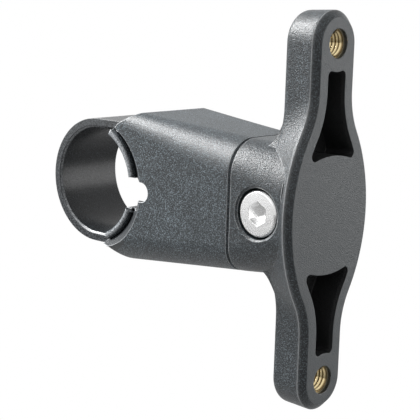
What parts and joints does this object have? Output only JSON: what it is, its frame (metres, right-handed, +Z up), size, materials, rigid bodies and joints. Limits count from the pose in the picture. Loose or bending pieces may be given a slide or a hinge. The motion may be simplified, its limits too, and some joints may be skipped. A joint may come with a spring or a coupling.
{
  "type": "bottle cage mount",
  "caption": "Bar clamp mount for a bottle cage: a strap grips a round bar, and a tapered body carries a pocketed plate with threaded brass inserts.",
  "frame": {"origin": "centre of the bar that the strap grips", "axes": "+Y along the bar, +X out of the cage face, +Z up along the line of the two cage bolts"},
  "size_m": [0.0684, 0.0252, 0.0761],
  "materials": {
    "plate_polymer": "satin moulded face with fine grained sides",
    "body_polymer": "fine grained moulding",
    "strap_polymer": "smooth satin",
    "bolt_steel": "bright zinc plate",
    "nut_steel": "bright zinc plate",
    "insert_brass": "turned"
  },
  "bodies": {
    "root": {"cage_plate": "plate_polymer", "clamp_body": "body_polymer", "clamp_strap": "strap_polymer", "clamp_bolt": "bolt_steel", "clamp_nut": "nut_steel", "upper_insert": "insert_brass", "lower_insert": "insert_brass"}
  },
  "joints": []
}
